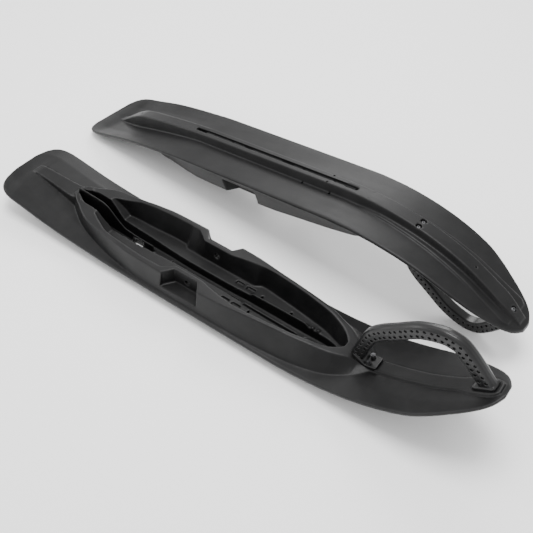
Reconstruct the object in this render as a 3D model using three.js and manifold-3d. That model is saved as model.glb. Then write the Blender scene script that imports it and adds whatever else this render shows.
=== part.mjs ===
// A pair of moulded plastic snowmobile skis with loop handles.
// Ski A stands upright on its keel; ski B lies beside it, upside down,
// resting on its tail and on the top of its loop handle.
// Millimetres, +Z up, +X from tail to tip of ski A.
import * as THREE from 'three';
import { mergeVertices } from 'three/addons/utils/BufferGeometryUtils.js';
import Module from 'manifold-3d';

// ---------------------------------------------------------------- dimensions
const TAIL_X = -15;          // tail end of the blade
const TIP_X = 1070;          // tip of the blade
const BLADE_T = 10;          // blade thickness at the centre
const EDGE_DROP = 2;         // blade is this much thinner at its edge
const KEEL_D = 16.5;         // keel depth below the blade
const KEEL_BASE = 20;        // keel half width at the blade
const KEEL_FOOT = 14.2;      // keel half width at the bottom
const GROOVE_W = 9;          // wear bar groove width
const GROOVE_D = 6;          // wear bar groove depth
const FLOOR_H = 2.5;           // saddle floor above the deck
const PLATFORM_H = 37.5;       // rear platform above the deck
const RAMP_X0 = 222, RAMP_X1 = 257;
const LIP_T = 3;             // thickness of the lips along the hollow
const POCKET_Y = 49.5;       // half distance across the two spindle seats
const POCKET_X0 = 455, POCKET_X1 = 510;   // spindle seat, along the ski
const POCKET_FLARE = 15;     // the pocket opens outward by this much each end
const POCKET_SILL = 10;       // sill of the pocket above the deck
const BOLT_X = 484, BOLT_H = 23, BOLT_R = 6;   // spindle bolt bore
const HANDLE_H = 12.5, HANDLE_W = 11;   // half height and half width of the bar
const SCREW_R = 2.5;         // M5
const BORE_R = 2.9;
const NOSE_SPINE_H = 5;
const GAP = 0.3;

// pitch of ski B about its tail, its yaw, and where its frame sits
const B_PITCH = 9.2, B_YAW = -4.66, B_X = -41.2, B_Y = 290.8, B_Z = 33.075;
const ORIGIN_X = 508.305, ORIGIN_Y = 143.465;   // bottom centre of the pair, in ski A's frame

// [x, value] tables along the ski
const HALF_WIDTH = [[-15, 40], [-13, 53], [-9, 65], [-3, 75], [6, 82.5], [20, 87.5], [40, 89.5], [140, 89.5], [300, 88.5], [500, 87], [700, 85], [800, 83], [880, 80], [950, 75.5], [985, 68], [1010, 59], [1035, 48], [1050, 39], [1062, 27], [1070, 11]];
const BOTTOM = [[-15, 36], [0, 33], [60, 24.5], [150, 11], [250, 3.5], [330, 0], [700, 0], [760, 3.5], [800, 9], [840, 17.5], [880, 29], [950, 59.5], [1010, 98.5], [1070, 139]];
const CROWN = [[-15, 2], [10, 6], [40, 12], [120, 12], [180, 9], [260, 3], [330, 0], [1070, 0]];
const SPINE_H = [[22, 0.5], [50, 4], [100, 9], [140, 14], [160, 22], [175, 28]];
const SPINE_W = [[22, 12], [60, 13.5], [120, 16.5], [160, 19], [175, 20]];
const HULL_FOOT = [[138, 12], [150, 20], [163, 29], [203, 50], [254, 64], [311, 74], [391, 80.5], [450, 80.5], [600, 79], [700, 73], [787, 60], [819, 49], [843, 37], [861, 18], [866, 10]];
const HULL_RIM = [[138, 8], [150, 12], [165, 22], [180, 30.4], [200, 42.1], [220, 51], [250, 56.5], [280, 60.6], [320, 66.2], [360, 70.3], [440, 71.1], [520, 69.7], [560, 68.1], [620, 61.5], [680, 55.1], [740, 47.6], [770, 40], [790, 34], [805, 27], [820, 19], [840, 13], [866, 6]];
const RIM_H = [[138, 10], [150, 28], [165, 33], [180, 34], [200, 36.5], [250, 37], [280, 39.5], [320, 43], [440, 44], [560, 45.4], [680, 46], [740, 43], [770, 36], [790, 31], [815, 22], [836, 9], [850, 5], [866, 1]];
const CAVITY_RIM = [[222, 26.5], [246, 38], [282, 53.5], [332, 59], [378, 61.5], [425, 62], [440, 52], [455, 41.5], [515, 41.5], [540, 47], [575, 53], [600, 54.5], [650, 51.4], [700, 45.4], [740, 38.6], [770, 30.3], [790, 18], [800, 6]];
const CAVITY_FOOT = [[222, 25], [257, 35], [330, 40], [384, 43], [402, 42.5], [412, 34.5], [574, 34.5], [593, 43.6], [640, 39.5], [682, 35], [740, 25], [770, 14], [790, 6], [800, 3]];
const HOLLOW_FLOOR = [[149, 30], [175, 8], [200, -6], [760, -6], [785, 6]];   // from the blade bottom
const KEEL_DEPTH = [[24, 0.1], [125, KEEL_D], [990, KEEL_D], [1040, 12], [1062, 2]];
const KEEL_WIDTH = [[24, 8], [125, KEEL_BASE], [1020, KEEL_BASE], [1062, 11]];
const NOSE_SPINE_W = [[845, 12.5], [1000, 12.5], [1012, 15], [1024, 17], [1046, 17], [1056, 14], [1060, 9]];
const HOLLOW_W = [[149, 0.8], [165, 9], [190, 19], [222, 19.5], [257, 17], [320, 16], [400, 11], [450, 9.5], [520, 9.5], [600, 12], [700, 13], [750, 11], [775, 6], [785, 1]];
const LIP_H = [[585, 1], [592, 6], [704, 7], [715, 1]];
const RIB_TOP = [[150, 41], [215, 44], [232, 40], [262, 14], [280, 4], [352, 1]];
const HANDLE_PATH = [[822, 22], [826, 45], [834, 74], [845, 107], [860, 126], [883, 146], [920, 177], [950, 190.5], [965, 193.5], [984, 190.5], [1000, 179.5], [1018, 162], [1041, 138], [1048, 133]];

function table(t, x) {                 // monotone cubic through a table
  const n = t.length;
  if (x <= t[0][0]) return t[0][1];
  if (x >= t[n - 1][0]) return t[n - 1][1];
  const h = [], d = [];
  for (let i = 0; i < n - 1; i++) { h.push(t[i + 1][0] - t[i][0]); d.push((t[i + 1][1] - t[i][1]) / h[i]); }
  const m = new Array(n);
  const end = (h0, h1, d0, d1) => {
    let v = ((2 * h0 + h1) * d0 - h0 * d1) / (h0 + h1);
    if (Math.sign(v) !== Math.sign(d0)) v = 0;
    else if (Math.sign(d0) !== Math.sign(d1) && Math.abs(v) > Math.abs(3 * d0)) v = 3 * d0;
    return v;
  };
  m[0] = n > 2 ? end(h[0], h[1], d[0], d[1]) : d[0];
  m[n - 1] = n > 2 ? end(h[n - 2], h[n - 3], d[n - 2], d[n - 3]) : d[0];
  for (let i = 1; i < n - 1; i++) {
    if (d[i - 1] * d[i] <= 0) m[i] = 0;
    else { const a = 2 * h[i] + h[i - 1], b = h[i] + 2 * h[i - 1]; m[i] = (a + b) / (a / d[i - 1] + b / d[i]); }
  }
  let k = 0; while (x > t[k + 1][0]) k++;
  const s = (x - t[k][0]) / h[k], s2 = s * s, s3 = s2 * s;
  return (2 * s3 - 3 * s2 + 1) * t[k][1] + (s3 - 2 * s2 + s) * h[k] * m[k] + (-2 * s3 + 3 * s2) * t[k + 1][1] + (s3 - s2) * h[k] * m[k + 1];
}
const bottom = (x) => table(BOTTOM, x);
const deck = (x) => bottom(x) + BLADE_T;
const halfWidth = (x) => table(HALF_WIDTH, x);
const slope = (x) => Math.atan2(bottom(x + 4) - bottom(x - 4), 8);

// ---------------------------------------------------------------- solids
const wasm = await Module(); wasm.setup();
function solid(geometry) {
  let g = geometry.clone();
  for (const a of Object.keys(g.attributes)) if (a !== 'position') g.deleteAttribute(a);
  g = mergeVertices(g, 1e-4);
  return new wasm.Manifold(new wasm.Mesh({ numProp: 3, vertProperties: Float32Array.from(g.attributes.position.array), triVerts: Uint32Array.from(g.index.array) }));
}
// the main solid, without the offcuts that trimming leaves inside its neighbour
function largest(m) {
  return m.decompose().sort((a, b) => b.volume() - a.volume())[0];
}
function geometryOf(m) {
  const mesh = m.getMesh(), g = new THREE.BufferGeometry(), n = mesh.numProp;
  const v = new Float32Array(mesh.vertProperties.length / n * 3);
  for (let i = 0; i < v.length / 3; i++) for (let k = 0; k < 3; k++) v[3 * i + k] = mesh.vertProperties[n * i + k];
  g.setAttribute('position', new THREE.BufferAttribute(v, 3));
  g.setIndex(new THREE.BufferAttribute(Uint32Array.from(mesh.triVerts), 1));
  g.computeVertexNormals();
  return g;
}
// triangles of a flat outline that keep every one of its points
function ears(pts) {
  const left = pts.map((_, i) => i), out = [];
  const area = (a, b, c) => (b[0] - a[0]) * (c[1] - a[1]) - (b[1] - a[1]) * (c[0] - a[0]);
  while (left.length > 3) {
    let best = -1, score = -Infinity;
    for (let i = 0; i < left.length; i++) {
      const ia = left[(i + left.length - 1) % left.length], ib = left[i], ic = left[(i + 1) % left.length];
      const a = pts[ia], b = pts[ib], c = pts[ic], A = area(a, b, c);
      if (A <= 1e-9) continue;
      let ok = true;
      for (const k of left) {
        if (k === ia || k === ib || k === ic) continue;
        const q = pts[k];
        if (area(a, b, q) >= -1e-9 && area(b, c, q) >= -1e-9 && area(c, a, q) >= -1e-9) { ok = false; break; }
      }
      if (!ok) continue;
      const e = (p, q) => (p[0] - q[0]) ** 2 + (p[1] - q[1]) ** 2;
      const v = A / (e(a, b) + e(b, c) + e(c, a));
      if (v > score) { score = v; best = i; }
    }
    if (best < 0) throw new Error('outline does not triangulate');
    const n = left.length;
    out.push([left[(best + n - 1) % n], left[best], left[(best + 1) % n]]);
    left.splice(best, 1);
  }
  out.push(left);
  return out;
}
// closed skin through sections; every section has the same number of points,
// counter-clockwise when seen from +X
function loft(sections) {
  const pos = [], idx = [], n = sections[0].length;
  for (const s of sections) for (const p of s) pos.push(p[0], p[1], p[2]);
  for (let i = 0; i < sections.length - 1; i++)
    for (let j = 0; j < n; j++) {
      const a = i * n + j, b = i * n + (j + 1) % n, c = a + n, d = b + n;
      idx.push(a, b, d, a, d, c);
    }
  const cap = (s, off, flip) => {
    for (const f of ears(sections[s].map((p) => [p[1], p[2]]))) flip ? idx.push(off + f[0], off + f[2], off + f[1]) : idx.push(off + f[0], off + f[1], off + f[2]);
  };
  cap(0, 0, true); cap(sections.length - 1, (sections.length - 1) * n, false);
  const g = new THREE.BufferGeometry();
  g.setAttribute('position', new THREE.Float32BufferAttribute(pos, 3));
  g.setIndex(idx);
  return solid(g);
}
function stations(x0, x1, step, extra = []) {
  const s = new Set(extra.filter((x) => x >= x0 && x <= x1).concat([x0, x1]));
  const n = Math.max(1, Math.round((x1 - x0) / step));
  for (let i = 1; i < n; i++) s.add(x0 + (x1 - x0) * i / n);
  const a = [...s].sort((p, q) => p - q), out = [];
  for (const x of a) if (!out.length || x - out[out.length - 1] > 1.5 || extra.includes(x) && !extra.includes(out[out.length - 1])) out.push(x);
  if (out[out.length - 1] !== x1) out[out.length - 1] = x1;
  return out;
}
const xs = (t) => t.map((p) => p[0]);
const box = (x0, x1, y0, y1, z0, z1) => {
  const g = new THREE.BoxGeometry(x1 - x0, y1 - y0, z1 - z0); g.translate((x0 + x1) / 2, (y0 + y1) / 2, (z0 + z1) / 2); return solid(g);
};
// round bar between two points
function rod(p, q, r, seg = 16) {
  const a = new THREE.Vector3(...p), b = new THREE.Vector3(...q), d = b.clone().sub(a);
  const g = new THREE.CylinderGeometry(r, r, d.length(), seg);
  g.applyQuaternion(new THREE.Quaternion().setFromUnitVectors(new THREE.Vector3(0, 1, 0), d.clone().normalize()));
  const c = a.add(b).multiplyScalar(0.5); g.translate(c.x, c.y, c.z);
  return solid(g);
}
// slot with round ends, cut along Z
function slot(x0, x1, y, r, z0, z1) {
  const s = new THREE.Shape(); s.moveTo(x0 + r, y - r); s.lineTo(x1 - r, y - r); s.absarc(x1 - r, y, r, -Math.PI / 2, Math.PI / 2, false); s.lineTo(x0 + r, y + r); s.absarc(x0 + r, y, r, Math.PI / 2, 1.5 * Math.PI, false);
  const g = new THREE.ExtrudeGeometry(s, { depth: z1 - z0, bevelEnabled: false, curveSegments: 6 }); g.translate(0, 0, z0); return solid(g);
}

function skiBody() {
  // blade
  const bladeX = stations(TAIL_X, TIP_X, 90, xs(HALF_WIDTH).concat(xs(BOTTOM).filter((x) => x > 0)).concat([100, 180, 215, 290, 730, 820, 860, 905, 928, 970, 998, 1022]));
  let body = loft(bladeX.map((x) => {
    const w = halfWidth(x), b = bottom(x), c = table(CROWN, x), w2 = w * 0.6, w3 = w * 0.22;
    return [[-w + 1, b], [-w2, b + c * 0.7], [-w3, b + c * 0.89], [w3, b + c * 0.89], [w2, b + c * 0.7], [w - 1, b], [w, b + 1], [w, b + BLADE_T - EDGE_DROP],
      [w2, b + BLADE_T + c * 0.7], [w3, b + BLADE_T + c * 0.89], [-w3, b + BLADE_T + c * 0.89], [-w2, b + BLADE_T + c * 0.7], [-w, b + BLADE_T - EDGE_DROP], [-w, b + 1]].map(([y, z]) => [x, y, z]);
  }));
  // keel, with its pointed ramp at the tail
  body = body.add(loft([24, 60, 95, 125, 160, 205, 250, 290, 330, 500, 700, 730, 760, 790, 815, 840, 860, 880, 905, 928, 950, 970, 990, 1010, 1035, 1062].map((x) => {
    const b = bottom(x), c = table(CROWN, x), d = table(KEEL_DEPTH, x), kb = table(KEEL_WIDTH, x), kf = kb - (KEEL_BASE - KEEL_FOOT) * d / KEEL_D;
    const zb = x < 300 ? b + c * (1 - d / KEEL_D) - d : b - d, zm = Math.max(zb + 0.2, b + c * 0.85 + 0.3);
    return [[x, -kf, zb], [x, kf, zb], [x, kb, zm], [x, kb, b + c + 4], [x, -kb, b + c + 4], [x, -kb, zm]];
  })));
  // shallow step of the running face beside the keel, in front
  body = body.add(loft([740, 770, 800, 830, 860, 890, 920, 950, 980, 1010, 1035, 1050].map((x) => {
    const b = bottom(x), d = Math.min(3, (x - 738) * 0.06, (1056 - x) * 0.3), w = Math.min(26 + (x - 740) * 0.035, halfWidth(x) - 8);
    return [[x, -w + 2, b - d], [x, w - 2, b - d], [x, w, b + 0.5], [x, w, b + 4], [x, -w, b + 4], [x, -w, b + 0.5]];
  })));
  // raised spine on the tail, running up into the saddle
  body = body.add(loft([22, 50, 75, 100, 120, 140, 160, 175].map((x) => {
    const c = table(CROWN, x), w = table(SPINE_W, x), h = table(SPINE_H, x), f = w + 1 + h * 0.2, b = bottom(x) + c + 3, d = deck(x) + c * 0.85 - 0.3;
    return [[x, -f, b], [x, f, b], [x, f, d], [x, w, deck(x) + c + h], [x, -w, deck(x) + c + h], [x, -f, d]];
  })));
  // raised spine on the nose, widening into the pad of the handle's front foot
  body = body.add(loft([845, 870, 895, 920, 945, 965, 985, 1000, 1010, 1020, 1034, 1048, 1056, 1060].map((x) => {
    const w = table(NOSE_SPINE_W, x), t = deck(x) + NOSE_SPINE_H, f = w + 1.5, b = bottom(x) + 3;
    return [[x, -f, b], [x, f, b], [x, f, deck(x) - 0.3], [x, w, t], [x, -w, t], [x, -f, deck(x) - 0.3]];
  })));
  // saddle hull
  const hullX = stations(138, 866, 60, xs(HULL_RIM).concat([150, 163, 843, 861, 400, 480]));
  body = body.add(loft(hullX.map((x) => {
    const f = table(HULL_FOOT, x), r = Math.min(table(HULL_RIM, x), f - 1), h = table(RIM_H, x), w = halfWidth(x), c = table(CROWN, x);
    const edge = Math.max(0, (f - 0.6 * w) / (0.4 * w)), z0 = bottom(x) + c + 2, z1 = deck(x) + 0.6 * c * (1 - edge) - 2.2, top = deck(x) + h + c * Math.max(0, (200 - x) / 60) * 0.5;
    return [[x, -f, z0], [x, f, z0], [x, f, z1], [x, r, top], [x, -r, top], [x, -f, z1]];
  })));
  // cavity of the saddle: floor, rear ramp, leaning inner walls
  const cavX = stations(RAMP_X0, 800, 70, xs(CAVITY_RIM).concat([257, 412, 593, 784]));
  const cavity = loft(cavX.map((x) => {
    const r = table(CAVITY_RIM, x), f = Math.min(table(CAVITY_FOOT, x), r - 2), h = table(RIM_H, x), k = Math.min(1, (x - RAMP_X0) / (RAMP_X1 - RAMP_X0));
    const fl = deck(x) + PLATFORM_H + (FLOOR_H - PLATFORM_H) * k + Math.max(0, x - 784) * 0.4, top = deck(x) + h + 4, lean = (r - f) * Math.min(1, (top - fl) / (h + 4 - FLOOR_H));
    return [[x, -(r - lean), fl], [x, r - lean, fl], [x, r + 0.8, top], [x, -r - 0.8, top]];
  }));
  // hollow of the keel, open upward
  const hollow = loft([149, 157, 165, 178, 190, 222, 257, 320, 360, 400, 450, 520, 560, 600, 700, 750, 765, 775, 785].map((x) => {
    const w = table(HOLLOW_W, x), b = bottom(x) + table(HOLLOW_FLOOR, x), w2 = Math.min(w * 0.95, 11);
    return [[x, -w2, b], [x, w2, b], [x, w, Math.max(b + 1, deck(x) - 1)], [x, w, deck(x) + 70], [x, -w, deck(x) + 70], [x, -w, Math.max(b + 1, deck(x) - 1)]];
  }));
  body = body.subtract(cavity).subtract(hollow);
  // lips along the front of the hollow, then two small bosses each side
  for (const s of [-1, 1]) {
    body = body.add(loft(xs(LIP_H).map((x) => {
      const a = table(HOLLOW_W, x), o = a + LIP_T, z0 = deck(x) - 1.5, z1 = deck(x) + FLOOR_H + table(LIP_H, x);
      return (s > 0 ? [[a, z0], [o, z0], [o - 0.3, z1], [a, z1]] : [[-o, z0], [-a, z0], [-a, z1], [-o + 0.3, z1]]).map(([y, z]) => [x, y, z]);
    })));
    for (const x of [723, 735]) body = body.add(box(x - 2, x + 2, s > 0 ? 13 : -18, s > 0 ? 18 : -13, deck(x) - 1, deck(x) + FLOOR_H + 4));
  }
  // rib in the rear of the hollow
  body = body.add(loft([152, 165, 185, 205, 215, 226, 240, 252, 262, 285, 320, 352].map((x) => {
    const z0 = bottom(x) + table(HOLLOW_FLOOR, x) - 2, z1 = deck(x) + table(RIB_TOP, x);
    return [[x, -1.5, z0], [x, 1.5, z0], [x, 1.2, z1], [x, -1.2, z1]];
  })));
  // pockets for the spindle seats, both sides
  for (const s of [-1, 1]) {
    const P = new THREE.Shape();
    P.moveTo(POCKET_X0, s * POCKET_Y); P.lineTo(POCKET_X1, s * POCKET_Y); P.lineTo(POCKET_X1 + POCKET_FLARE, s * 70); P.lineTo(POCKET_X1 + POCKET_FLARE + 4, s * 95);
    P.lineTo(POCKET_X0 - POCKET_FLARE - 4, s * 95); P.lineTo(POCKET_X0 - POCKET_FLARE, s * 70); P.closePath();
    const g = new THREE.ExtrudeGeometry(P, { depth: 60, bevelEnabled: false }); g.translate(0, 0, BLADE_T + POCKET_SILL);
    body = body.subtract(solid(g));
  }
  body = body.subtract(rod([BOLT_X, -90, BLADE_T + BOLT_H], [BOLT_X, 90, BLADE_T + BOLT_H], BOLT_R, 16));
  // wear bar groove and the holes through the keel
  body = body.subtract(slot(318, 724, 0, GROOVE_W / 2, -KEEL_D - 5, -KEEL_D + GROOVE_D));
  body = body.subtract(box(296, 323, -4.5, 4.5, -KEEL_D - 5, 6));
  for (const x of [400, 592, 667, 718]) body = body.subtract(rod([x, 0, -KEEL_D - 5], [x, 0, 6], 3.2, 10));
  body = body.subtract(slot(433, 459, 0, 2.5, -KEEL_D - 5, 2)).subtract(slot(536, 567, 0, 2.5, -KEEL_D - 5, 2));
  for (const [x, y] of [[108, 0], [660, -11.5], [660, 11.5], [754, -11], [754, 11], [969, 0]]) body = body.subtract(rod([x, y, bottom(x) - KEEL_D - 6], [x, y, bottom(x) - KEEL_D + 5], 2, 8));
  // small holes and two sunk bars in the saddle floor
  for (const s of [-1, 1]) {
    for (const [x, y] of [[606, 22], [672, 22]]) body = body.subtract(rod([x, s * y, -8], [x, s * y, 30], 2.6, 8));
    body = body.subtract(box(543, 562, s > 0 ? 19.5 : -28.5, s > 0 ? 28.5 : -19.5, BLADE_T - 1.5, BLADE_T + 12)).subtract(box(568, 588, s > 0 ? 19.5 : -28.5, s > 0 ? 28.5 : -19.5, BLADE_T - 1.5, BLADE_T + 12));
  }
  // bores for the handle's bolts, counterbored from below
  for (const f of FASTENERS) body = body.subtract(along(f, -60, 60, BORE_R, 12)).subtract(along(f, -60, f.seat, 5.5, 14));
  return body;
}

// bolts of the handle: station, side, direction square to the deck; levels
// along them are counted from the blade's bottom
const frameAt = (x, y) => ({ x, y, z: bottom(x), n: [-Math.sin(slope(x)), 0, Math.cos(slope(x))] });
const FASTENERS = [
  { name: 'front', ...frameAt(1040, 0), seat: -2.9 },
  { name: 'rear_left', ...frameAt(855, 8), seat: -7.7 },
  { name: 'rear_right', ...frameAt(855, -8), seat: -7.7 },
];
function along(f, a, b, r, seg = 14) {
  const p = (t) => [f.x + f.n[0] * t, f.y, f.z + f.n[2] * t];
  return rod(p(a), p(b), r, seg);
}
function placed(f, geometry) {           // local +Z to the bolt's direction
  geometry.applyQuaternion(new THREE.Quaternion().setFromUnitVectors(new THREE.Vector3(0, 0, 1), new THREE.Vector3(...f.n)));
  geometry.translate(f.x, f.y, f.z); return geometry;
}
function turned(profile, seg = 16) {     // closed profile [r, z] about +Z
  const g = new THREE.LatheGeometry(profile.map(([r, z]) => new THREE.Vector2(r, z)), seg); g.rotateX(Math.PI / 2); return g;
}

function handle(body) {
  const curve = new THREE.CatmullRomCurve3(HANDLE_PATH.map(([x, z]) => new THREE.Vector3(x, 0, z)), false, 'centripetal');
  const N = 26, secs = [];
  for (let i = 0; i <= N; i++) {
    const p = curve.getPoint(i / N), t = curve.getTangent(i / N), n = new THREE.Vector3(-t.z, 0, t.x);   // n points to the outside of the loop
    const h = HANDLE_H, w = HANDLE_W;
    const ring = [[-w + 1.5, -h], [w - 1.5, -h], [w, -h + 1.5], [w, h * 0.35], [w * 0.86, h * 0.72], [w * 0.5, h * 0.96], [0, h], [-w * 0.5, h * 0.96], [-w * 0.86, h * 0.72], [-w, h * 0.35], [-w, -h + 1.5]];
    secs.push(ring.map(([y, o]) => [p.x + n.x * o, y, p.z + n.z * o]));
  }
  // sections run tail to tip, so the ring is counter-clockwise seen from +X
  let bar = loftRings(secs);
  // toe of the rear foot, lying on the spine in front of the saddle
  bar = bar.add(loft([822, 838, 845, 863, 866].map((x) => {
    const w = x > 865 ? 12 : 14, top = bottom(x) + 20 + Math.max(0, (845 - x) * 0.8);
    return [[x, -w, deck(x) + 1.5], [x, w, deck(x) + 1.5], [x, w, top - 1.2], [x, w - 1.2, top], [x, -w + 1.2, top], [x, -w, top - 1.2]];
  })));
  // block of the front foot, on the pad
  bar = bar.add(loft([1020, 1023, 1040, 1049, 1052].map((x) => {
    const w = x < 1022 || x > 1050 ? 10.5 : 12.5, t = deck(x) + (x < 1022 || x > 1050 ? 9 : 12);
    return [[x, -w, deck(x) + 1], [x, w, deck(x) + 1], [x, w, t - 1.5], [x, w - 1.5, t], [x, -w + 1.5, t], [x, -w, t - 1.5]];
  })));
  for (const d of [[0, 0, GAP], [0.2, 0, 0.05], [-0.2, 0, 0.05], [0, 0, 0]]) bar = bar.subtract(body.translate(d));
  for (const f of FASTENERS) {
    if (f.name === 'front') bar = bar.subtract(along(f, -30, 30, BORE_R, 12)).subtract(along(f, -30, 28.3, 4.5, 12));
    else bar = bar.subtract(along(f, -30, 60, BORE_R, 12)).subtract(along(f, 20, 30, 6, 14));
  }
  return largest(bar);
}
function loftRings(secs) {
  const pos = [], idx = [], n = secs[0].length;
  for (const s of secs) for (const p of s) pos.push(...p);
  for (let i = 0; i < secs.length - 1; i++) for (let j = 0; j < n; j++) {
    const a = i * n + j, b = i * n + (j + 1) % n, c = a + n, d = b + n; idx.push(a, b, d, a, d, c);
  }
  for (let j = 1; j < n - 1; j++) { idx.push(0, j + 1, j); const o = (secs.length - 1) * n; idx.push(o, o + j, o + j + 1); }
  const g = new THREE.BufferGeometry(); g.setAttribute('position', new THREE.Float32BufferAttribute(pos, 3)); g.setIndex(idx); return solid(g);
}

// ---------------------------------------------------------------- pieces
const PLASTIC = { color: 0x131415, roughness: 0.52, metalness: 0 };
const HANDLE = { color: 0x101112, roughness: 0.34, metalness: 0 };
const STEEL = { color: 0x8d9092, roughness: 0.35, metalness: 1 };
const BRASS = { color: 0xa8884a, roughness: 0.4, metalness: 1 };

const body = largest(skiBody());
const bar = handle(body);
const pieces = [['ski_body', geometryOf(body), PLASTIC], ['loop_handle', geometryOf(bar), HANDLE]];
for (const f of FASTENERS) {
  const front = f.name === 'front', s = f.seat - GAP, t = front ? 1 : 1.2, head = s - t - GAP, end = 27;
  const ring = (r0, r1, z0, z1, seg) => turned([[r0, z0], [r1, z0], [r1, z1], [r0, z1], [r0, z0]], seg);
  pieces.push([`${f.name}_head_washer`, placed(f, ring(2.8, 5, s - t, s, 14)), STEEL]);
  const screw = solid(turned([[0, head - 3], [3, head - 3], [4.2, head - 1.9], [4.5, head], [SCREW_R, head], [SCREW_R, end - 0.6], [SCREW_R - 0.6, end], [0, end]], 14));
  const key = new THREE.CylinderGeometry(1.7, 1.7, 3.6, 6); key.rotateX(Math.PI / 2); key.translate(0, 0, head - 3);
  pieces.push([`${f.name}_screw`, placed(f, geometryOf(screw.subtract(solid(key)))), STEEL]);
  if (front) pieces.push(['front_insert', placed(f, ring(2.8, 4.2, 16, 28, 14)), BRASS]);
  else {
    pieces.push([`${f.name}_nut_washer`, placed(f, ring(2.8, 5, 20.3, 21.3, 14)), STEEL]);
    const hex = new THREE.Shape(); for (let i = 0; i < 6; i++) { const a = Math.PI / 3 * i, r = 4.62; i ? hex.lineTo(r * Math.cos(a), r * Math.sin(a)) : hex.moveTo(r * Math.cos(a), r * Math.sin(a)); } hex.closePath();
    const bore = new THREE.Path(); bore.absarc(0, 0, 2.7, 0, 2 * Math.PI, true); hex.holes.push(bore);
    const nut = new THREE.ExtrudeGeometry(hex, { depth: 4, bevelEnabled: false, curveSegments: 6 }); nut.translate(0, 0, 21.6);
    pieces.push([`${f.name}_nut`, placed(f, geometryOf(solid(nut))), STEEL]);
  }
}

const group = new THREE.Group(); group.name = 'snowmobile_ski_pair';
const skiA = new THREE.Group(), skiB = new THREE.Group();
for (const [name, geometry, look] of pieces) {
  for (const [g, tag] of [[skiA, 'a'], [skiB, 'b']]) {
    const m = new THREE.Mesh(geometry, new THREE.MeshStandardMaterial(look)); m.name = `${tag}_${name}`; g.add(m);
  }
}
// ski A on its keel; ski B turned over, pitched onto its tail and handle
skiA.position.z = KEEL_D;
const turn = new THREE.Matrix4().makeRotationZ(B_YAW * Math.PI / 180)
  .multiply(new THREE.Matrix4().makeRotationY(-B_PITCH * Math.PI / 180))
  .multiply(new THREE.Matrix4().makeRotationX(Math.PI));
turn.setPosition(B_X, B_Y, KEEL_D + B_Z);
skiB.applyMatrix4(turn);
const inner = new THREE.Group(); inner.add(skiA, skiB);
inner.position.set(-ORIGIN_X, -ORIGIN_Y, 0);
group.add(inner);
export default group;
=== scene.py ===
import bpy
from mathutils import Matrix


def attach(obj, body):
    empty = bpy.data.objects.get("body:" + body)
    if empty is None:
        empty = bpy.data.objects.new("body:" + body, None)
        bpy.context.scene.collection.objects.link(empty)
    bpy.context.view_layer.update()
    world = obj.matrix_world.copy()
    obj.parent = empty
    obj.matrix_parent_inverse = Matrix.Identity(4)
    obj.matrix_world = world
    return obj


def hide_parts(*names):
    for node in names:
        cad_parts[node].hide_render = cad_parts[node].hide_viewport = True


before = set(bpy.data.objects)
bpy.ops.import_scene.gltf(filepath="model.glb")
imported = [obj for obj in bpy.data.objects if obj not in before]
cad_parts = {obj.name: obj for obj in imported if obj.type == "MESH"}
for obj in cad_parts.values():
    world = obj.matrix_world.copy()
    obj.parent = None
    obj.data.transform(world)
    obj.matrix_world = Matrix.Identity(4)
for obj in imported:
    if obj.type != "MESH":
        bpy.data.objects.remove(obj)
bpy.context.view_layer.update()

import math
import bpy
import numpy as np
from mathutils import Matrix, Vector

# ------------------------------------------------------------------ placing
# sizes are millimetres in a ski's own frame: X tail to tip, Z up, blade bottom 0
KEEL_D = 16.5
ORIGIN = (508.305, 143.465)
B_PITCH, B_YAW, B_AT = 9.2, -4.66, (-41.2, 290.8, 33.075)
BLADE_T, EDGE_DROP = 10.0, 2.0
KEEL_BASE, KEEL_FOOT = 20.0, 14.2
FLOOR_H, PLATFORM_H = 2.5, 37.5

HALF_WIDTH = [[-15, 40], [-13, 53], [-9, 65], [-3, 75], [6, 82.5], [20, 87.5], [40, 89.5], [140, 89.5], [300, 88.5], [500, 87], [700, 85], [800, 83], [880, 80], [950, 75.5], [985, 68], [1010, 59], [1035, 48], [1050, 39], [1062, 27], [1070, 11]]
BOTTOM = [[-15, 36], [0, 33], [60, 24.5], [150, 11], [250, 3.5], [330, 0], [700, 0], [760, 3.5], [800, 9], [840, 17.5], [880, 29], [950, 59.5], [1010, 98.5], [1070, 139]]
CROWN = [[-15, 2], [10, 6], [40, 12], [120, 12], [180, 9], [260, 3], [330, 0], [1070, 0]]
SPINE_H = [[22, 0.5], [50, 4], [100, 9], [140, 14], [160, 22], [175, 28]]
SPINE_W = [[22, 12], [60, 13.5], [120, 16.5], [160, 19], [175, 20]]
HULL_FOOT = [[138, 12], [150, 20], [163, 29], [203, 50], [254, 64], [311, 74], [391, 80.5], [450, 80.5], [600, 79], [700, 73], [787, 60], [819, 49], [843, 37], [861, 18], [866, 10]]
HULL_RIM = [[138, 8], [150, 12], [165, 22], [180, 30.4], [200, 42.1], [220, 51], [250, 56.5], [280, 60.6], [320, 66.2], [360, 70.3], [440, 71.1], [520, 69.7], [560, 68.1], [620, 61.5], [680, 55.1], [740, 47.6], [770, 40], [790, 34], [805, 27], [820, 19], [840, 13], [866, 6]]
RIM_H = [[138, 10], [150, 28], [165, 33], [180, 34], [200, 36.5], [250, 37], [280, 39.5], [320, 43], [440, 44], [560, 45.4], [680, 46], [740, 43], [770, 36], [790, 31], [815, 22], [836, 9], [850, 5], [866, 1]]
CAVITY_RIM = [[222, 26.5], [246, 38], [282, 53.5], [332, 59], [378, 61.5], [425, 62], [440, 52], [455, 41.5], [515, 41.5], [540, 47], [575, 53], [600, 54.5], [650, 51.4], [700, 45.4], [740, 38.6], [770, 30.3], [790, 18], [800, 6]]
CAVITY_FOOT = [[222, 25], [257, 35], [330, 40], [384, 43], [402, 42.5], [412, 34.5], [574, 34.5], [593, 43.6], [640, 39.5], [682, 35], [740, 25], [770, 14], [790, 6], [800, 3]]
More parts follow.
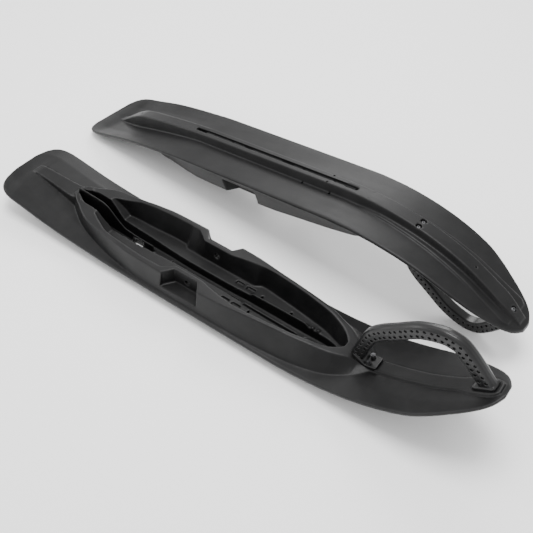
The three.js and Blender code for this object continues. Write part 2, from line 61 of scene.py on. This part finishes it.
HOLLOW_FLOOR = [[149, 30], [175, 8], [200, -6], [760, -6], [785, 6]]
KEEL_DEPTH = [[24, 0.1], [125, KEEL_D], [990, KEEL_D], [1040, 12], [1062, 2]]
KEEL_WIDTH = [[24, 8], [125, KEEL_BASE], [1020, KEEL_BASE], [1062, 11]]
NOSE_SPINE_W = [[845, 12.5], [1000, 12.5], [1012, 15], [1024, 17], [1046, 17], [1056, 14], [1060, 9]]
HOLLOW_W = [[149, 0.8], [165, 9], [190, 19], [222, 19.5], [257, 17], [320, 16], [400, 11], [450, 9.5], [520, 9.5], [600, 12], [700, 13], [750, 11], [775, 6], [785, 1]]
LIP_H = [[585, 1], [592, 6], [704, 7], [715, 1]]
RIB_TOP = [[150, 41], [215, 44], [232, 40], [262, 14], [280, 4], [352, 1]]
HANDLE_PATH = [[822, 22], [826, 45], [834, 74], [845, 107], [860, 126], [883, 146], [920, 177], [950, 190.5], [965, 193.5], [984, 190.5], [1000, 179.5], [1018, 162], [1041, 138], [1048, 133]]


def tab(t, x):
    """Monotone cubic through a table."""
    n = len(t)
    if x <= t[0][0]:
        return t[0][1]
    if x >= t[-1][0]:
        return t[-1][1]
    h = [t[i + 1][0] - t[i][0] for i in range(n - 1)]
    d = [(t[i + 1][1] - t[i][1]) / h[i] for i in range(n - 1)]

    def end(h0, h1, d0, d1):
        v = ((2 * h0 + h1) * d0 - h0 * d1) / (h0 + h1)
        if v * d0 <= 0:
            return 0.0
        if d0 * d1 < 0 and abs(v) > abs(3 * d0):
            return 3 * d0
        return v

    m = [0.0] * n
    m[0] = end(h[0], h[1], d[0], d[1]) if n > 2 else d[0]
    m[-1] = end(h[-1], h[-2], d[-1], d[-2]) if n > 2 else d[0]
    for i in range(1, n - 1):
        if d[i - 1] * d[i] > 0:
            a, b = 2 * h[i] + h[i - 1], h[i] + 2 * h[i - 1]
            m[i] = (a + b) / (a / d[i - 1] + b / d[i])
    k = 0
    while x > t[k + 1][0]:
        k += 1
    s = (x - t[k][0]) / h[k]
    return (2 * s**3 - 3 * s**2 + 1) * t[k][1] + (s**3 - 2 * s**2 + s) * h[k] * m[k] + (3 * s**2 - 2 * s**3) * t[k + 1][1] + (s**3 - s**2) * h[k] * m[k + 1]


def bottom(x):
    return tab(BOTTOM, x)


def deck(x):
    return bottom(x) + BLADE_T


def slope(x):
    return math.atan2(bottom(x + 4) - bottom(x - 4), 8)


# ------------------------------------------------------------------ meshes
def new_object(name, verts, faces):
    me = bpy.data.meshes.new(name)
    me.from_pydata([tuple(v) for v in verts], [], [tuple(f) for f in faces])
    me.update()
    o = bpy.data.objects.new(name, me)
    bpy.context.scene.collection.objects.link(o)
    return o


def loft(name, sections):
    """Closed skin through sections of (x, y, z), each counter-clockwise seen from the far end."""
    n = len(sections[0])
    verts = [p for s in sections for p in s]
    faces = []
    for i in range(len(sections) - 1):
        for j in range(n):
            a, b = i * n + j, i * n + (j + 1) % n
            faces.append((a, b, b + n, a + n))
    faces.append(tuple(reversed(range(n))))
    faces.append(tuple(range(len(verts) - n, len(verts))))
    return new_object(name, verts, faces)


def steps(x0, x1, step):
    n = max(2, int(round((x1 - x0) / step)) + 1)
    return [x0 + (x1 - x0) * i / (n - 1) for i in range(n)]


def box(x0, x1, y0, y1, z0, z1):
    return loft("tool", [[(x, y0, z0), (x, y1, z0), (x, y1, z1), (x, y0, z1)] for x in (x0, x1)])


def rod(p, q, r, seg=32, r2=None):
    p, q = np.array(p, float), np.array(q, float)
    d = (q - p) / np.linalg.norm(q - p)
    a = np.cross(d, (0, 1, 0) if abs(d[1]) < 0.9 else (1, 0, 0))
    a /= np.linalg.norm(a)
    b = np.cross(d, a)
    rings = [[tuple(c + (a * math.cos(2 * math.pi * k / seg) + b * math.sin(2 * math.pi * k / seg)) * rr) for k in range(seg)] for c, rr in ((p, r), (q, r if r2 is None else r2))]
    return loft("tool", rings)


def prism(points, z0, z1):
    n = len(points)
    verts = [(x, y, z0) for x, y in points] + [(x, y, z1) for x, y in points]
    faces = [tuple(reversed(range(n))), tuple(range(n, 2 * n))] + [(i, (i + 1) % n, (i + 1) % n + n, i + n) for i in range(n)]
    return new_object("tool", verts, faces)


def slot(x0, x1, y, r, z0, z1):
    pts = []
    for k in range(13):
        a = -math.pi / 2 + math.pi * k / 12
        pts.append((x1 - r + r * math.cos(a), y + r * math.sin(a)))
    for k in range(13):
        a = math.pi / 2 + math.pi * k / 12
        pts.append((x0 + r + r * math.cos(a), y + r * math.sin(a)))
    return prism(pts, z0, z1)


def evaluated(o):
    dg = bpy.context.evaluated_depsgraph_get()
    return bpy.data.meshes.new_from_object(o.evaluated_get(dg))


def apply(o):
    me = evaluated(o)
    old = o.data
    o.modifiers.clear()
    o.data = me
    bpy.data.meshes.remove(old)


def cut(o, others, op="DIFFERENCE"):
    for t in others if isinstance(others, (list, tuple)) else [others]:
        m = o.modifiers.new("b", "BOOLEAN")
        m.operation, m.object, m.solver = op, t, "MANIFOLD"
        apply(o)
        me = t.data
        bpy.data.objects.remove(t)
        bpy.data.meshes.remove(me)
    return o


def join(o, others):
    return cut(o, others, "UNION")


def remesh(o, voxel, smooth, factor=0.5):
    m = o.modifiers.new("r", "REMESH")
    m.mode, m.voxel_size, m.adaptivity = "VOXEL", voxel, 0.0
    m.use_smooth_shade = True
    s = o.modifiers.new("s", "SMOOTH")
    s.factor, s.iterations = factor, smooth
    apply(o)
    o.data.polygons.foreach_set("use_smooth", np.ones(len(o.data.polygons), dtype=bool))
    return o


# ------------------------------------------------------------------ ski body
def fasteners():
    out = []
    for name, x, y, seat in (("front", 1040, 0, -2.9), ("rear_left", 855, 8, -7.7), ("rear_right", 855, -8, -7.7)):
        t = slope(x)
        out.append((name, np.array([x, y, bottom(x)]), np.array([-math.sin(t), 0, math.cos(t)]), seat))
    return out


def along(f, a, b, r, seg=32, r2=None):
    return rod(f[1] + f[2] * a, f[1] + f[2] * b, r, seg, r2)


def blade():
    secs = []
    xs = steps(-15, 20, 1.6) + steps(20, 985, 7)[1:] + steps(985, 1070, 2.5)[1:]
    for x in xs:
        w, b, c = tab(HALF_WIDTH, x), bottom(x), tab(CROWN, x)
        k = min(1.0, w / 20)

        def crown(y):
            t = abs(y) / w
            return c * (1 - 0.5 * t) if t < 0.6 else c * 0.7 * (1 - (t - 0.6) / 0.4) ** 0.9

        def top(y):
            t = max(0.0, (abs(y) / w - 0.6) / 0.4)
            return b + BLADE_T - EDGE_DROP * t + crown(y)

        ys = [w * t for t in (-0.97, -0.9, -0.8, -0.7, -0.62, -0.58, -0.45, -0.3, -0.15, -0.03, 0.03, 0.15, 0.3, 0.45, 0.58, 0.62, 0.7, 0.8, 0.9, 0.97)]
        low = [(y, b + crown(y)) for y in ys]
        high = [(y, top(y)) for y in reversed(ys)]
        side = [(w - 1.6 * k, b + crown(w - 1.6 * k) * 0.3 + 0.1), (w - 0.5 * k, b + 0.7), (w, b + 2.0), (w, b + BLADE_T - EDGE_DROP - 2.6), (w - 0.6 * k, b + BLADE_T - EDGE_DROP - 0.9), (w - 1.8 * k, b + BLADE_T - EDGE_DROP - 0.1)]
        pts = low + side + high + [(-y, z) for y, z in reversed(side)]
        secs.append([(x, y, z) for y, z in pts])
    return loft("ski", secs)


def ski_body():
    o = blade()
    secs = []
    for x in steps(24, 1062, 6):
        b, c, d, kb = bottom(x), tab(CROWN, x), tab(KEEL_DEPTH, x), tab(KEEL_WIDTH, x)
        kf = kb - (KEEL_BASE - KEEL_FOOT) * d / KEEL_D
        zb = b + c * (1 - d / KEEL_D) - d if x < 300 else b - d
        zm = max(zb + 0.2, b + c * 0.85 + 0.3)
        secs.append([(x, -kf, zb), (x, kf, zb), (x, kb, zm), (x, kb, b + c + 4), (x, -kb, b + c + 4), (x, -kb, zm)])
    parts = [loft("keel", secs)]
    secs = []
    for x in steps(740, 1050, 8):
        b = bottom(x)
        d, w = min(3, (x - 738) * 0.06, (1056 - x) * 0.3), min(26 + (x - 740) * 0.035, tab(HALF_WIDTH, x) - 8)
        secs.append([(x, -w + 2, b - d), (x, w - 2, b - d), (x, w, b + 0.5), (x, w, b + 4), (x, -w, b + 4), (x, -w, b + 0.5)])
    parts.append(loft("pad", secs))
    secs = []
    for x in steps(22, 175, 5):
        c, w, h = tab(CROWN, x), tab(SPINE_W, x), tab(SPINE_H, x)
        f, b, d = w + 1 + h * 0.2, bottom(x) + c + 3, deck(x) + c * 0.85 - 0.3
        t = deck(x) + c + h
        secs.append([(x, -f, b), (x, f, b), (x, f, d), (x, w, t - 0.8), (x, w - 1.5, t), (x, -w + 1.5, t), (x, -w, t - 0.8), (x, -f, d)])
    parts.append(loft("spine", secs))
    secs = []
    for x in steps(845, 1060, 4):
        w, t, b = tab(NOSE_SPINE_W, x), deck(x) + 5, bottom(x) + 3
        secs.append([(x, -w - 1.5, b), (x, w + 1.5, b), (x, w + 1.5, deck(x) - 0.3), (x, w, t - 0.6), (x, w - 1.2, t), (x, -w + 1.2, t), (x, -w, t - 0.6), (x, -w - 1.5, deck(x) - 0.3)])
    parts.append(loft("nose_spine", secs))
    secs = []
    for x in steps(138, 866, 3.5):
        f = tab(HULL_FOOT, x)
        r, h, w, c = min(tab(HULL_RIM, x), f - 1), tab(RIM_H, x), tab(HALF_WIDTH, x), tab(CROWN, x)
        edge = max(0.0, (f - 0.6 * w) / (0.4 * w))
        z0, z1 = bottom(x) + c + 2, deck(x) + 0.6 * c * (1 - edge) - 2.2
        t = deck(x) + h + c * max(0.0, (200 - x) / 60) * 0.5
        q = min(1.5, (t - z1) * 0.2)
        secs.append([(x, -f, z0), (x, f, z0), (x, f, z1), (x, r + q * 0.25, t - q), (x, r - q, t), (x, -r + q, t), (x, -r - q * 0.25, t - q), (x, -f, z1)])
    parts.append(loft("hull", secs))
    join(o, parts)
    secs = []
    for x in steps(222, 800, 3.5):
        r, h = tab(CAVITY_RIM, x), tab(RIM_H, x)
        f, k = min(tab(CAVITY_FOOT, x), r - 2), min(1.0, (x - 222) / 35)
        fl = deck(x) + PLATFORM_H + (FLOOR_H - PLATFORM_H) * k + max(0.0, x - 784) * 0.4
        top = deck(x) + h + 4
        lean = (r - f) * min(1.0, (top - fl) / (h + 4 - FLOOR_H))
        secs.append([(x, -(r - lean), fl), (x, r - lean, fl), (x, r + 0.8, top), (x, -r - 0.8, top)])
    cavity = loft("cavity", secs)
    secs = []
    for x in steps(149, 785, 3.5):
        w, b = tab(HOLLOW_W, x), bottom(x) + tab(HOLLOW_FLOOR, x)
        w2, z = min(w * 0.95, 11), max(b + 1, deck(x) - 1)
        secs.append([(x, -w2, b), (x, w2, b), (x, w, z), (x, w, deck(x) + 70), (x, -w, deck(x) + 70), (x, -w, z)])
    cut(o, [cavity, loft("hollow", secs)])
    more = []
    for s in (-1, 1):
        secs = []
        for x in steps(585, 715, 3):
            a = tab(HOLLOW_W, x)
            z0, z1 = deck(x) - 1.5, deck(x) + FLOOR_H + tab(LIP_H, x)
            q = [(a, z0), (a + 3, z0), (a + 2.7, z1), (a, z1)] if s > 0 else [(-a - 3, z0), (-a, z0), (-a, z1), (-a - 2.7, z1)]
            secs.append([(x, y, z) for y, z in q])
        more.append(loft("lip", secs))
        for x in (723, 735):
            more.append(box(x - 2, x + 2, 13 if s > 0 else -18, 18 if s > 0 else -13, deck(x) - 1, deck(x) + FLOOR_H + 4))
    secs = []
    for x in steps(152, 352, 3):
        z0, z1 = bottom(x) + tab(HOLLOW_FLOOR, x) - 2, deck(x) + tab(RIB_TOP, x)
        secs.append([(x, -1.5, z0), (x, 1.5, z0), (x, 1.2, z1), (x, -1.2, z1)])
    more.append(loft("rib", secs))
    join(o, more)
    tools = []
    for s in (-1, 1):
        pts = [(455, 49.5), (510, 49.5), (525, 70), (529, 95), (436, 95), (440, 70)]
        pts = [(x, s * y) for x, y in (pts if s > 0 else reversed(pts))]
        tools.append(prism(pts, BLADE_T + 10, BLADE_T + 70))
        for x, y in ((606, 22), (672, 22)):
            tools.append(rod((x, s * y, -8), (x, s * y, 30), 2.6, 24))
        for x0, x1 in ((543, 562), (568, 588)):
            tools.append(box(x0, x1, 19.5 if s > 0 else -28.5, 28.5 if s > 0 else -19.5, BLADE_T - 1.5, BLADE_T + 12))
    tools.append(rod((484, -90, 33), (484, 90, 33), 6, 40))
    tools.append(slot(318, 724, 0, 4.5, -KEEL_D - 5, -KEEL_D + 6))
    tools.append(box(296, 323, -4.5, 4.5, -KEEL_D - 5, 6))
    for x in (400, 592, 667, 718):
        tools.append(rod((x, 0, -KEEL_D - 5), (x, 0, 6), 3.2, 24))
    tools.append(slot(433, 459, 0, 2.5, -KEEL_D - 5, 2))
    tools.append(slot(536, 567, 0, 2.5, -KEEL_D - 5, 2))
    for x, y in ((108, 0), (660, -11.5), (660, 11.5), (754, -11), (754, 11), (969, 0)):
        tools.append(rod((x, y, bottom(x) - KEEL_D - 6), (x, y, bottom(x) - KEEL_D + 5), 2, 16))
    for f in fasteners():
        tools.append(along(f, -60, 60, 2.9))
        tools.append(along(f, -60, f[3], 5.5))
    tools += creases()
    cut(o, tools)
    return o


def creases():
    """Narrow moulded grooves along the feet of the two spines."""
    out = []
    for s in (-1, 1):
        for t, x0, x1, top in ((None, 30, 150, "tail"), (NOSE_SPINE_W, 872, 1054, "nose")):
            secs = []
            for x in steps(x0, x1, 4):
                if top == "tail":
                    h, c = tab(SPINE_H, x), tab(CROWN, x)
                    y, z = tab(SPINE_W, x) + 1 + h * 0.2 + 0.9, deck(x) + c * 0.86
                else:
                    y, z = tab(t, x) + 2.3, deck(x)
                y *= s
                secs.append([(x, y - 0.9, z - 1.7), (x, y + 0.9, z - 1.7), (x, y + 1.1, z + 1.6), (x, y - 1.1, z + 1.6)])
            out.append(loft("tool", secs))
    return out


# ------------------------------------------------------------------ handle
def path_points():
    """Centripetal Catmull-Rom through the handle's points, evenly spaced."""
    P = [np.array(p, float) for p in HANDLE_PATH]
    P = [2 * P[0] - P[1]] + P + [2 * P[-1] - P[-2]]
    out = []
    for i in range(1, len(P) - 2):
        p0, p1, p2, p3 = P[i - 1], P[i], P[i + 1], P[i + 2]
        t = [0.0]
        for a, b in ((p0, p1), (p1, p2), (p2, p3)):
            t.append(t[-1] + max(1e-6, np.linalg.norm(b - a)) ** 0.5)
        for u in np.linspace(t[1], t[2], 24, endpoint=False):
            A1 = (t[1] - u) / (t[1] - t[0]) * p0 + (u - t[0]) / (t[1] - t[0]) * p1
            A2 = (t[2] - u) / (t[2] - t[1]) * p1 + (u - t[1]) / (t[2] - t[1]) * p2
            A3 = (t[3] - u) / (t[3] - t[2]) * p2 + (u - t[2]) / (t[3] - t[2]) * p3
            B1 = (t[2] - u) / (t[2] - t[0]) * A1 + (u - t[0]) / (t[2] - t[0]) * A2
            B2 = (t[3] - u) / (t[3] - t[1]) * A2 + (u - t[1]) / (t[3] - t[1]) * A3
            out.append((t[2] - u) / (t[2] - t[1]) * B1 + (u - t[1]) / (t[2] - t[1]) * B2)
    out.append(P[-2])
    out = np.array(out)
    L = np.concatenate([[0], np.cumsum(np.linalg.norm(np.diff(out, axis=0), axis=1))])
    s = np.arange(0, L[-1], 2.0)
    return np.stack([np.interp(s, L, out[:, 0]), np.interp(s, L, out[:, 1])], -1)


def handle(body):
    C = path_points()
    T = np.gradient(C, axis=0)
    T /= np.linalg.norm(T, axis=1)[:, None]
    ring = []
    H, W = 12.5, 11.0
    for k in range(9):
        a = math.pi * k / 8
        ring.append((W * math.copysign(abs(math.cos(a)) ** 0.75, math.cos(a)), 2.5 + (H - 2.5) * math.sin(a) ** 0.85))
    for k in range(5):
        a = math.pi + math.pi / 2 * k / 4
        ring.append((-W + 3.5 + 3.5 * math.cos(a), -H + 3.5 + 3.5 * math.sin(a)))
    for k in range(5):
        a = 1.5 * math.pi + math.pi / 2 * k / 4
        ring.append((W - 3.5 + 3.5 * math.cos(a), -H + 3.5 + 3.5 * math.sin(a)))
    secs = []
    for c, t in zip(C, T):
        n = np.array([-t[1], t[0]])
        secs.append([(c[0] + n[0] * q, y, c[1] + n[1] * q) for y, q in ring])
    bar = loft("handle", secs)
    secs = []
    for x in (822, 838, 845, 850, 856, 863, 865, 866):
        w, t = (14 if x < 864 else 13.2 if x < 866 else 12), bottom(x) + 20 + max(0, (845 - x) * 0.8)
        secs.append([(x, -w, deck(x) + 1.5), (x, w, deck(x) + 1.5), (x, w, t - 1.2), (x, w - 1.2, t), (x, -w + 1.2, t), (x, -w, t - 1.2)])
    toe = loft("toe", secs)
    secs = []
    for x in (1020, 1023, 1030, 1040, 1049, 1052):
        w, t = (10.5, 9) if x < 1022 or x > 1050 else (12.5, 12)
        t += deck(x)
        secs.append([(x, -w, deck(x) + 1), (x, w, deck(x) + 1), (x, w, t - 1.5), (x, w - 1.5, t), (x, -w + 1.5, t), (x, -w, t - 1.5)])
    join(bar, [toe, loft("block", secs)])
    up = bpy.data.objects.new("up", body.data.copy())
    bpy.context.scene.collection.objects.link(up)
    up.data.transform(Matrix.Translation((0, 0, 0.3)))
    cut(bar, up)
    low = bpy.data.objects.new("low", body.data.copy())
    bpy.context.scene.collection.objects.link(low)
    cut(bar, low)
    for f in fasteners():
        if f[0] == "front":
            cut(bar, [along(f, -30, 30, 2.9), along(f, -30, 28.3, 4.5)])
        else:
            cut(bar, [along(f, -30, 60, 2.9), along(f, 20, 30, 6)])
    keep_largest(bar)
    # two staggered rows of moulded dimples on each side face
    L = np.arange(len(C)) * 2.0
    tools = []
    for s in (-1, 1):
        for row, off in ((4.6, 0.0), (-5.2, 5.6)):
            d = 26.0 + off
            while d < L[-1] - 12:
                i = int(d / 2)
                c, t = C[i], T[i]
                n = np.array([-t[1], t[0]])
                p = c + n * row
                tools.append(rod((p[0], s * (W - 3.4), p[1]), (p[0], s * (W + 2), p[1]), 2.1, 14, 2.9))
                d += 11.2
    cut(bar, tools)
    return bar


def keep_largest(o):
    import bmesh
    bm = bmesh.new()
    bm.from_mesh(o.data)
    seen, groups = set(), []
    for v in bm.verts:
        if v in seen:
            continue
        stack, g = [v], []
        seen.add(v)
        while stack:
            q = stack.pop()
            g.append(q)
            for e in q.link_edges:
                r = e.other_vert(q)
                if r not in seen:
                    seen.add(r)
                    stack.append(r)
        groups.append(g)
    groups.sort(key=len, reverse=True)
    for g in groups[1:]:
        bmesh.ops.delete(bm, geom=g, context="VERTS")
    bm.to_mesh(o.data)
    bm.free()


# ------------------------------------------------------------------ materials
def nodes_of(name):
    m = bpy.data.materials.new(name)
    m.use_nodes = True
    nt = m.node_tree
    b = nt.nodes["Principled BSDF"]
    return m, nt, b


def moulded(name, base, light, rough, grain, bump, spec=0.5):
    """Black moulded plastic: fine grain, faint flow marks, slight handling scuffs, and a painted highlight that
    lightens convex edges by pointiness.
    """
    m, nt, b = nodes_of(name)
    N, L = nt.nodes, nt.links
    tc = N.new("ShaderNodeTexCoord")

    def noise(scale, detail, rough_, dist=0.0, stretch=None):
        n = N.new("ShaderNodeTexNoise")
        n.inputs["Scale"].default_value = scale
        n.inputs["Detail"].default_value = detail
        n.inputs["Roughness"].default_value = rough_
        n.inputs["Distortion"].default_value = dist
        if stretch:
            mp = N.new("ShaderNodeMapping")
            mp.inputs["Scale"].default_value = stretch
            L.new(tc.outputs["Object"], mp.inputs["Vector"])
            L.new(mp.outputs["Vector"], n.inputs["Vector"])
        else:
            L.new(tc.outputs["Object"], n.inputs["Vector"])
        return n

    def ramp(src, lo, hi, a, b_):
        r = N.new("ShaderNodeMapRange")
        r.inputs["From Min"].default_value, r.inputs["From Max"].default_value = lo, hi
        r.inputs["To Min"].default_value, r.inputs["To Max"].default_value = a, b_
        L.new(src, r.inputs["Value"])
        return r.outputs["Result"]

    fine, flow, blotch = noise(grain, 3, 0.6), noise(9, 3, 0.5, 0.3, (0.35, 2.2, 2.2)), noise(24, 4, 0.6)
    scuff = noise(70, 6, 0.72, 0.2, (0.25, 1.6, 1.6))
    geo = N.new("ShaderNodeNewGeometry")
    # painted highlight: convex edges (high pointiness) are lightened towards the light colour, standing in for edges
    # catching the light
    edge = ramp(geo.outputs["Pointiness"], 0.503, 0.545, 0.0, 1.0)
    mix = N.new("ShaderNodeMix")
    mix.data_type = "RGBA"
    mix.inputs["A"].default_value = (*base, 1)
    mix.inputs["B"].default_value = (*light, 1)
    add = N.new("ShaderNodeMath")
    add.operation = "ADD"
    add.use_clamp = True
    L.new(ramp(blotch.outputs["Fac"], 0.35, 0.75, 0.0, 0.4), add.inputs[0])
    add2 = N.new("ShaderNodeMath")
    add2.operation = "MULTIPLY_ADD"
    L.new(edge, add2.inputs[0])
    add2.inputs[1].default_value = 1.0
    L.new(ramp(scuff.outputs["Fac"], 0.60, 0.78, 0.0, 0.5), add2.inputs[2])
    L.new(add2.outputs[0], add.inputs[1])
    L.new(add.outputs[0], mix.inputs["Factor"])
    L.new(mix.outputs["Result"], b.inputs["Base Color"])
    r1 = ramp(flow.outputs["Fac"], 0.3, 0.7, rough - 0.05, rough + 0.06)
    r2 = N.new("ShaderNodeMath")
    r2.operation = "MULTIPLY_ADD"
    L.new(ramp(scuff.outputs["Fac"], 0.55, 0.75, 0.0, 1.0), r2.inputs[0])
    r2.inputs[1].default_value = 0.07
    L.new(r1, r2.inputs[2])
    L.new(r2.outputs[0], b.inputs["Roughness"])
    b.inputs["Specular IOR Level"].default_value = spec
    bp = N.new("ShaderNodeBump")
    bp.inputs["Strength"].default_value = bump
    bp.inputs["Distance"].default_value = 0.0004
    L.new(fine.outputs["Fac"], bp.inputs["Height"])
    bp2 = N.new("ShaderNodeBump")
    bp2.inputs["Strength"].default_value = 0.25
    bp2.inputs["Distance"].default_value = 0.0006
    L.new(flow.outputs["Fac"], bp2.inputs["Height"])
    L.new(bp.outputs["Normal"], bp2.inputs["Normal"])
    L.new(bp2.outputs["Normal"], b.inputs["Normal"])
    return m


def metal(name, a, c, rough):
    m, nt, b = nodes_of(name)
    N, L = nt.nodes, nt.links
    tc = N.new("ShaderNodeTexCoord")
    n = N.new("ShaderNodeTexNoise")
    n.inputs["Scale"].default_value = 420
    n.inputs["Detail"].default_value = 4
    L.new(tc.outputs["Object"], n.inputs["Vector"])
    mix = N.new("ShaderNodeMix")
    mix.data_type = "RGBA"
    mix.inputs["A"].default_value = (*a, 1)
    mix.inputs["B"].default_value = (*c, 1)
    L.new(n.outputs["Fac"], mix.inputs["Factor"])
    L.new(mix.outputs["Result"], b.inputs["Base Color"])
    b.inputs["Metallic"].default_value = 1.0
    r = N.new("ShaderNodeMapRange")
    r.inputs["To Min"].default_value, r.inputs["To Max"].default_value = rough - 0.08, rough + 0.12
    L.new(n.outputs["Fac"], r.inputs["Value"])
    L.new(r.outputs["Result"], b.inputs["Roughness"])
    bp = N.new("ShaderNodeBump")
    bp.inputs["Strength"].default_value = 0.15
    bp.inputs["Distance"].default_value = 0.0002
    L.new(n.outputs["Fac"], bp.inputs["Height"])
    L.new(bp.outputs["Normal"], b.inputs["Normal"])
    return m


BODY = moulded("body_black", (0.0022, 0.0022, 0.0024), (0.0135, 0.0134, 0.0136), 0.42, 1500, 0.3, 0.24)
GRIP = moulded("handle_black", (0.0026, 0.0026, 0.0028), (0.014, 0.014, 0.0144), 0.33, 1800, 0.18, 0.4)
STEEL = metal("zinc_steel", (0.085, 0.085, 0.09), (0.16, 0.16, 0.165), 0.42)
BRASS = metal("brass_insert", (0.50, 0.36, 0.16), (0.68, 0.52, 0.27), 0.36)


# ------------------------------------------------------------------ build
VOXEL = 1.5
body = ski_body()
bar = handle(body)
remesh(body, VOXEL, 2)
remesh(bar, 0.6, 2)

K = Matrix.Scale(0.001, 4)
SHIFT = Matrix.Translation((-ORIGIN[0] / 1000, -ORIGIN[1] / 1000, KEEL_D / 1000))
body.data.transform(K)
bar.data.transform(K)
turn = Matrix.Rotation(math.radians(B_YAW), 4, "Z") @ Matrix.Rotation(math.radians(-B_PITCH), 4, "Y") @ Matrix.Rotation(math.pi, 4, "X")
PLACE = {"a": SHIFT, "b": SHIFT @ Matrix.Translation(Vector(B_AT) / 1000) @ turn}
for tag in "ab":
    for src, node, slot_name, mat in ((body, "ski_body", "body_plastic", BODY), (bar, "loop_handle", "handle_plastic", GRIP)):
        me = src.data.copy()
        me.transform(PLACE[tag])
        o = bpy.data.objects.new(f"{tag}_{node}_moulded", me)
        bpy.context.scene.collection.objects.link(o)
        me.materials.clear()
        me.materials.append(mat)
        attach(o, f"ski_{tag}")
        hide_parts(f"{tag}_{node}")
for o in (body, bar):
    bpy.data.objects.remove(o)
for name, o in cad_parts.items():
    mat = BRASS if "insert" in name else BODY if "ski_body" in name else GRIP if "handle" in name else STEEL
    if o.material_slots:
        for s in o.material_slots:
            s.link = "OBJECT"
            s.material = mat

# ------------------------------------------------------------------ studio
floor = new_object("floor", [(-6, -6, 0), (6, -6, 0), (6, 6, 0), (-6, 6, 0)], [(0, 1, 2, 3)])
fm, nt, fb = nodes_of("floor_white")
fb.inputs["Base Color"].default_value = (0.97, 0.97, 0.97, 1)
fb.inputs["Roughness"].default_value = 0.9
fb.inputs["Specular IOR Level"].default_value = 0.1
floor.data.materials.append(fm)
floor.location.z = -0.0004

world = bpy.data.worlds.new("studio")
bpy.context.scene.world = world
world.use_nodes = True
world.node_tree.nodes["Background"].inputs["Color"].default_value = (1, 1, 1, 1)
world.node_tree.nodes["Background"].inputs["Strength"].default_value = 1.2


def lamp(name, at, to, size, power, size_y=None):
    d = bpy.data.lights.new(name, "AREA")
    d.energy, d.size = power, size
    if size_y:
        d.shape, d.size_y = "RECTANGLE", size_y
    o = bpy.data.objects.new(name, d)
    o.location = at
    o.rotation_euler = (Vector(to) - Vector(at)).to_track_quat("-Z", "Y").to_euler()
    bpy.context.scene.collection.objects.link(o)


lamp("overhead", (0.1, 0.0, 2.4), (0.0, 0.0, 0.0), 1.1, 62)
lamp("back", (-1.1, 2.3, 1.9), (0, 0, 0.05), 1.3, 46)
lamp("left", (-2.4, -0.5, 1.3), (0, 0, 0.05), 1.0, 16)

AZ, EL, ROLL = math.radians(36.568), math.radians(45.804), math.radians(0.231)
back = np.array([math.sin(AZ) * math.cos(EL), -math.cos(AZ) * math.cos(EL), math.sin(EL)])
right = np.array([math.cos(AZ), math.sin(AZ), 0])
up = np.array([-math.sin(AZ) * math.sin(EL), math.cos(AZ) * math.sin(EL), math.cos(EL)])
R2, U2 = right * math.cos(ROLL) + up * math.sin(ROLL), -right * math.sin(ROLL) + up * math.cos(ROLL)
target = np.array([535 - ORIGIN[0], 100 - ORIGIN[1], 30 + KEEL_D]) / 1000
dist = 1 / 6.9e-4 / 1000
cd = bpy.data.cameras.new("camera")
cam = bpy.data.objects.new("camera", cd)
pos = target + back * dist
cam.matrix_world = Matrix(((R2[0], U2[0], back[0], pos[0]), (R2[1], U2[1], back[1], pos[1]), (R2[2], U2[2], back[2], pos[2]), (0, 0, 0, 1)))
cd.sensor_width = 36
cd.lens = 0.5128 * dist * 1000 / 533 * 36
cd.shift_x, cd.shift_y = 9.43 / 533, -16.34 / 533
cd.clip_start, cd.clip_end = 0.01, 50
bpy.context.scene.collection.objects.link(cam)
bpy.context.scene.camera = cam
